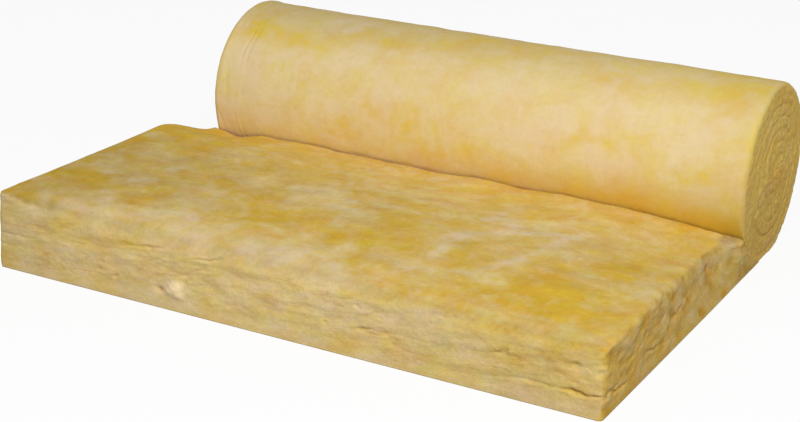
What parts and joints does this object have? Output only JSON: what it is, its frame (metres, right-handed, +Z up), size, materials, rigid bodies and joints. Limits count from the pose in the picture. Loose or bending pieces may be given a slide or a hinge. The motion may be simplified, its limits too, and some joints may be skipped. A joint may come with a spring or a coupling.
{
  "type": "insulation roll",
  "caption": "Partly unrolled glass wool blanket: a lofted flat length that thins and passes into a tightly wound roll, laid as thermal and acoustic insulation.",
  "frame": {"origin": "on the floor, in the middle of the part's outline seen from above", "axes": "+X along the roll's axis, +Y from the cut edge of the flat length to the roll, +Z up"},
  "size_m": [1.2, 1.0029, 0.34],
  "materials": {
    "glass_wool": "matt, fibrous, mottled golden yellow and cream"
  },
  "bodies": {
    "root": {"glass_wool_blanket": "glass_wool"}
  },
  "joints": []
}
